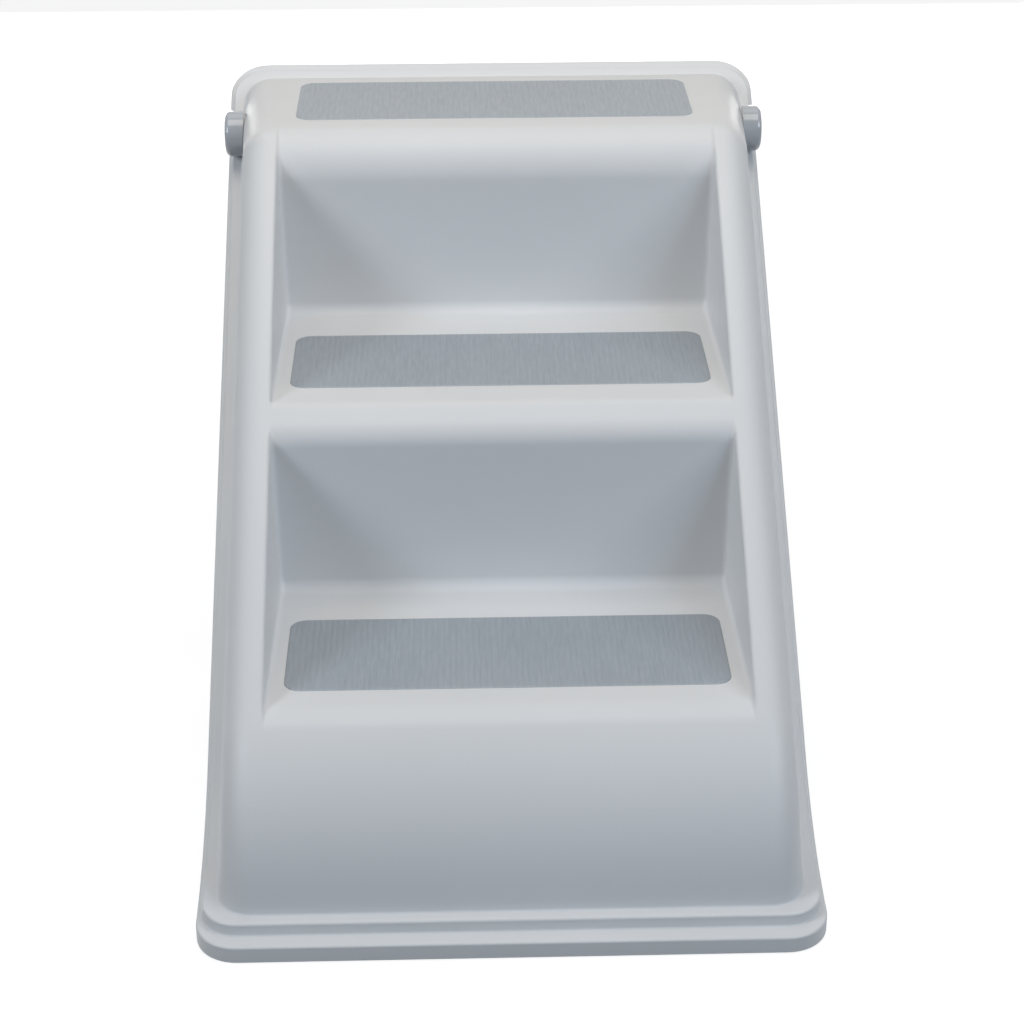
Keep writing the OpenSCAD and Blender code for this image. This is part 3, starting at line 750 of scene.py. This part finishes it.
def hingeSide(sign):
    # one side's stop, with its gusset, and the bosses that the pin runs through
    h = hinge
    plate, gusset = stopOutlines()
    midX = h["armInX"] + h["armThick"] / 2
    points, faces = flatPlate(plate, h["armInX"], bodyX)
    onWall = []
    for x, y, z in points:
        if x > midX + h["stopKnee"]:
            x += wallAt((y, z)) - h["stopShort"] - bodyX
        onWall.append((sign * x, y, z))
    r, edge, bore, length = h["bossR"], h["bossEdgeR"], h["boreR"], h["bossLength"]
    boss = [(0, bore), (0, r - edge), (0.3 * edge, r - 0.3 * edge), (edge, r), (length, r),
            (length, bore), (0, bore)]
    r, edge, length = h["hubR"], h["hubEdge"], h["hubLength"]
    hub = [(0, bore), (0, r), (length - edge, r), (length, r - edge), (length, bore), (0, bore)]
    return [(onWall, faces),
            flatPlate(gusset, *sorted((sign * midX, sign * (midX + ribs["thickness"])))),
            lathe(boss, h["bossX"], h["sides"], sign), lathe(hub, bodyX - length, h["sides"], sign)]


def buildShell():
    parts = [shellSkin()]
    half = ribs["thickness"] / 2
    for i in range(-2, 3):
        x = i * ribs["pitch"]
        parts += [flatPlate(outline, x - half, x + half) for outline in ribOutlines()]
    for sign in (-1, 1):
        parts += hingeSide(sign)
    makeObject("stepShell", *gather(parts), "shell", "step_shell")


buildShell()
print("step shell built")


# ribbed mats, one on each tread

treadMat = {"width": 292.0, "depth": 92.0, "cornerR": 11.0, "back": 27.0, "proud": 0.8, "edgeR": 0.55,
            "skirt": 1.5, "ribHeight": 0.25, "ribFade": 2.6, "ribSharpness": 1.6, "ribColumns": 8,
            "cornerColumns": 14, "edgeAngles": (30, 60, 90),
            "rows": (0, 0.012, 0.028, 0.05, 0.2, 0.35, 0.5, 0.65, 0.8, 0.95, 0.972, 0.988, 1)}


def matColumns(halfX, cornerR):
    # places across a mat: close together in its round corners, then eight to a rib
    m = treadMat
    inCorner = [-halfX + cornerR * (1 - math.cos(t)) for t in np.linspace(0, math.pi / 2, m["cornerColumns"])]
    straight = np.arange(-halfX + cornerR, halfX - cornerR + 0.01, rubberMat["ribPitch"] / m["ribColumns"])
    return inCorner[:-1] + list(straight) + [-x for x in inCorner[:-1][::-1]]


def squareOut(around):
    # the level direction square to a closed line, and out of it, at each of its points
    found = []
    for i in range(len(around)):
        run = around[(i + 1) % len(around)][:2] - around[i - 1][:2]
        found.append(-turned(unit(run) if np.linalg.norm(run) > tiny else level))
    return found


def buildMat(k, name, node):
    m, pitch = treadMat, rubberMat["ribPitch"]
    front = noseY + k * shell["run"] + m["back"] + m["edgeR"]
    rear, halfX = front + m["depth"] - 2 * m["edgeR"], m["width"] / 2 - m["edgeR"]
    bottom, cornerR = (k + 1) * shell["rise"] + m["proud"] - m["ribHeight"], m["cornerR"] - m["edgeR"]
    points, faces, grid = [], [], []
    for x in matColumns(halfX, cornerR):
        edge = halfX - abs(x)
        cut = cornerR - math.sqrt(max(cornerR ** 2 - max(cornerR - edge, 0) ** 2, 0))
        wave = 0.5 - 0.5 * math.cos(2 * math.pi * x / pitch)
        grid.append([])
        for share in m["rows"]:
            y = front + cut + (rear - front - 2 * cut) * share
            fade = min(max(min(edge, y - front - cut, rear - cut - y) / m["ribFade"], 0), 1)
            grid[-1].append(len(points))
            points.append((x, y, bottom + m["ribHeight"] * (1 - wave ** m["ribSharpness"]) * fade))
    for a, b in zip(grid[:-1], grid[1:]):
        faces += [(a[j], b[j], b[j + 1], a[j + 1]) for j in range(len(a) - 1)]
    loop = [c[0] for c in grid] + grid[-1][1:] + [c[-1] for c in grid[::-1][1:]] + grid[0][1:-1][::-1]
    count = len(loop)
    around = np.array([points[i] for i in loop])
    outward = squareOut(around)
    turns = [math.radians(angle) for angle in m["edgeAngles"]]
    rings = [(m["edgeR"] * math.sin(turn), m["edgeR"] * (1 - math.cos(turn))) for turn in turns]
    previous = loop
    for out, down in rings + [(m["edgeR"], m["edgeR"] + m["skirt"])]:
        start = len(points)
        points += [(p[0] + way[0] * out, p[1] + way[1] * out, p[2] - down) for p, way in zip(around, outward)]
        current = list(range(start, start + count))
        for i in range(count):
            j = (i + 1) % count
            faces.append((previous[i], current[i], current[j], previous[j]))
        previous = current
    faces.append(tuple(previous[::-1]))
    makeObject(name, points, faces, "mat", node)


for k, place in enumerate(("Lower", "Middle", "Upper")):
    buildMat(k, "treadMat" + place, "tread_mat_" + place.lower())
print("mats built")


# glossy round caps over the hinge pins

hingeCap = {"radius": 17.0, "length": 12.0, "edgeR": 3.5, "edgeAngle": 76, "edgeSteps": 9, "dome": 0.8,
            "domeRings": (0.8, 0.6, 0.4, 0.2, 0.02), "wall": 2.5, "gap": 0.3, "bevel": 0.3, "bevelLift": 0.25,
            "plateDepth": 3.0, "boreR": 6.0, "boreDepth": 9.0, "sides": 128}


def buildCap(sign, name, node):
    c = hingeCap
    r, edgeR, sides = c["radius"], c["edgeR"], c["sides"]
    inner, shoulder = r - c["wall"], c["length"] - edgeR - c["dome"]
    # the pin's end stands in the bore, and the skirt's end follows the drafted wall
    inside = [(c["boreDepth"], 0.1), (c["boreDepth"], c["boreR"]), (c["plateDepth"], c["boreR"]),
              (c["plateDepth"], inner)]
    lifted = c["gap"] + c["bevelLift"]
    skirt = [(lifted, inner), (c["gap"], inner + c["bevel"]), (c["gap"], r - c["bevel"]), (lifted, r)]
    outside = [(shoulder / 2, r), (shoulder, r)]
    for turn in np.radians(np.linspace(0, c["edgeAngle"], c["edgeSteps"]))[1:]:
        outside.append((shoulder + edgeR * math.sin(turn), r - edgeR * (1 - math.cos(turn))))
    out, radius = outside[-1]
    outside += [(out + (c["length"] - out) * (1 - share ** 2), radius * share) for share in c["domeRings"]]
    profile = inside + skirt + outside
    points, faces = lathe(profile, bodyX, sides, sign)
    for i in range(len(inside) * sides, (len(inside) + len(skirt)) * sides):
        x, y, z = points[i]
        points[i] = (x + sign * (wallAt((y, z)) - bodyX), y, z)
    last = (len(profile) - 1) * sides
    faces += [tuple(range(last, last + sides)), tuple(range(sides))[::-1]]
    makeObject(name, points, faces, "cap", node)


buildCap(-1, "hingeCapLeft", "hinge_cap_left")
buildCap(1, "hingeCapRight", "hinge_cap_right")
print("caps built")


# the nodes that keep their own shape: softened edges and a finish each

kept = {
    "rear_leg": ("leg", 0.6), "hinge_pin_left": ("pin", 0.3), "hinge_pin_right": ("pin", 0.3),
    "hinge_bush_left": ("bush", 0.2), "hinge_bush_right": ("bush", 0.2),
    "hinge_washer_left": ("bush", 0.15), "hinge_washer_right": ("bush", 0.15),
    "hinge_ring_left": ("pin", 0.12), "hinge_ring_right": ("pin", 0.12),
    "front_foot_left": ("foot", 0.5), "front_foot_right": ("foot", 0.5),
    "leg_foot_left": ("foot", 0.5), "leg_foot_right": ("foot", 0.5),
}
# millimetres and degrees
keptEdges = {"weld": 0.01, "flatWithin": 0.6, "softFrom": 32, "segments": 2}
for node, (finish, softening) in kept.items():
    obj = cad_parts[node]
    obj.data.materials.clear()
    obj.data.materials.append(materials[finish])
    obj.modifiers.new("weld", "WELD").merge_threshold = keptEdges["weld"] * mm
    flat = obj.modifiers.new("flatFaces", "DECIMATE")
    flat.decimate_type, flat.angle_limit = "DISSOLVE", math.radians(keptEdges["flatWithin"])
    soft = obj.modifiers.new("softEdges", "BEVEL")
    soft.width, soft.segments, soft.limit_method = softening * mm, keptEdges["segments"], "ANGLE"
    soft.angle_limit, soft.harden_normals = math.radians(keptEdges["softFrom"]), False
    evenNormals(obj)
print("kept nodes finished:", len(kept))


# floor, light and camera

studio = {"horizon": (0.01, 0.01, 0.01, 1), "zenith": (0.02, 0.02, 0.02, 1), "aim": (0, 0, 0.2),
          "floorSize": 9.0, "floorDrop": 0.4, "floorTones": (0.24, 0.27), "floorPatches": 9.0,
          "floorWhite": 0.87}


def seenDirectly(tree):
    # 1 where the camera, a mirror or a glass looks at a surface, 0 where light bounces off it
    path = addNode(tree, "ShaderNodeLightPath").outputs
    either = combine(tree, "MAXIMUM", path["Is Camera Ray"], path["Is Glossy Ray"])
    return combine(tree, "MAXIMUM", either, path["Is Transmission Ray"])


def whiteWorld():
    world = bpy.data.worlds.new("studio")
    bpy.context.scene.world = world
    world.use_nodes = True
    tree = world.node_tree
    tree.nodes.clear()
    leave = addNode(tree, "ShaderNodeOutputWorld")
    white, soft = addNode(tree, "ShaderNodeBackground"), addNode(tree, "ShaderNodeBackground")
    white.inputs["Color"].default_value, white.inputs["Strength"].default_value = (1, 1, 1, 1), 1.0
    parts = addNode(tree, "ShaderNodeSeparateXYZ")
    tree.links.new(addNode(tree, "ShaderNodeTexCoord").outputs["Generated"], parts.inputs[0])
    height = spread(tree, parts.outputs["Z"], 0.0, 1.0, 0.0, 1.0)
    tree.links.new(mixColour(tree, height, studio["horizon"], studio["zenith"]), soft.inputs["Color"])
    mix = addNode(tree, "ShaderNodeMixShader")
    tree.links.new(seenDirectly(tree), mix.inputs["Fac"])
    tree.links.new(soft.outputs[0], mix.inputs[1])
    tree.links.new(white.outputs[0], mix.inputs[2])
    tree.links.new(mix.outputs[0], leave.inputs["Surface"])


def paleFloor():
    size, drop = studio["floorSize"], studio["floorDrop"] * mm
    corners = [(-size, -size, -drop), (size, -size, -drop), (size, size, -drop), (-size, size, -drop)]
    data = bpy.data.meshes.new("studioFloor")
    data.from_pydata(corners, [], [(0, 1, 2, 3)])
    floor = bpy.data.objects.new("studioFloor", data)
    bpy.context.scene.collection.objects.link(floor)
    material, tree, shader = newMaterial("floorPaint", Roughness=0.9, Specular_IOR_Level=0.0)
    patches = spread(tree, noise(tree, placeCoords(tree), studio["floorPatches"]), 0.0, 1.0)
    tones = [(tone, tone, tone, 1) for tone in studio["floorTones"]]
    tree.links.new(mixColour(tree, patches, *tones), shader.inputs["Base Color"])
    glow = combine(tree, "MULTIPLY", seenDirectly(tree), studio["floorWhite"])
    shader.inputs["Emission Color"].default_value = (1, 1, 1, 1)
    tree.links.new(glow, shader.inputs["Emission Strength"])
    data.materials.append(material)


def softbox(name, lamp):
    data = bpy.data.lights.new(name, "AREA")
    data.shape, data.size, data.size_y = "RECTANGLE", *lamp["size"]
    data.energy, data.color = lamp["power"], lamp["colour"]
    holder = bpy.data.objects.new(name, data)
    holder.location = lamp["place"]
    holder.rotation_mode = "QUATERNION"
    towards = Vector(studio["aim"]) - Vector(lamp["place"])
    holder.rotation_quaternion = towards.to_track_quat("-Z", "Y")
    bpy.context.scene.collection.objects.link(holder)


lamps = {
    "top": {"place": (0, -0.1, 1.5), "size": (1.3, 0.7), "power": 7.8, "colour": (1, 0.93, 0.84)},
    "back": {"place": (0, 1.0, 2.1), "size": (2.0, 1.0), "power": 4.6, "colour": (1, 0.97, 0.92)},
    "left": {"place": (-1.95, -1.13, 1.5), "size": (0.9, 1.0), "power": 25.5, "colour": (0.83, 0.91, 1)},
    "right": {"place": (1.95, -1.13, 1.5), "size": (0.9, 1.0), "power": 15.0, "colour": (0.92, 0.96, 1)},
    "front": {"place": (1.26, -1.81, 1.58), "size": (0.8, 0.8), "power": 13.5, "colour": (0.64, 0.8, 1)},
    "rear": {"place": (0, 2.0, 0.21), "size": (1.8, 0.38), "power": 24.0, "colour": (1, 0.98, 0.95)},
}
whiteWorld()
paleFloor()
for lampName, lamp in lamps.items():
    softbox(lampName + "Softbox", lamp)

viewpoint = {"place": (-0.0308, -1.4824, 0.9207), "yaw": 1.485, "pitch": 27.081, "roll": -0.16,
             "lens": 81.5, "sensor": 36, "nearest": 0.05, "farthest": 60}


def placeCamera():
    yaw, pitch, roll = (math.radians(viewpoint[key]) for key in ("yaw", "pitch", "roll"))
    forward = Vector((math.sin(yaw) * math.cos(pitch), math.cos(yaw) * math.cos(pitch), -math.sin(pitch)))
    right = Vector((math.cos(yaw), -math.sin(yaw), 0))
    above = right.cross(forward)
    rolledRight = math.cos(roll) * right + math.sin(roll) * above
    rolledAbove = math.cos(roll) * above - math.sin(roll) * right
    turn = Matrix((rolledRight, rolledAbove, -forward)).transposed()
    data = bpy.data.cameras.new("photoCamera")
    data.lens, data.sensor_width = viewpoint["lens"], viewpoint["sensor"]
    data.clip_start, data.clip_end = viewpoint["nearest"], viewpoint["farthest"]
    camera = bpy.data.objects.new("photoCamera", data)
    camera.matrix_world = Matrix.Translation(viewpoint["place"]) @ turn.to_4x4()
    bpy.context.scene.collection.objects.link(camera)
    bpy.context.scene.camera = camera


placeCamera()
bpy.context.scene.view_settings.view_transform = "Standard"
print("studio ready")
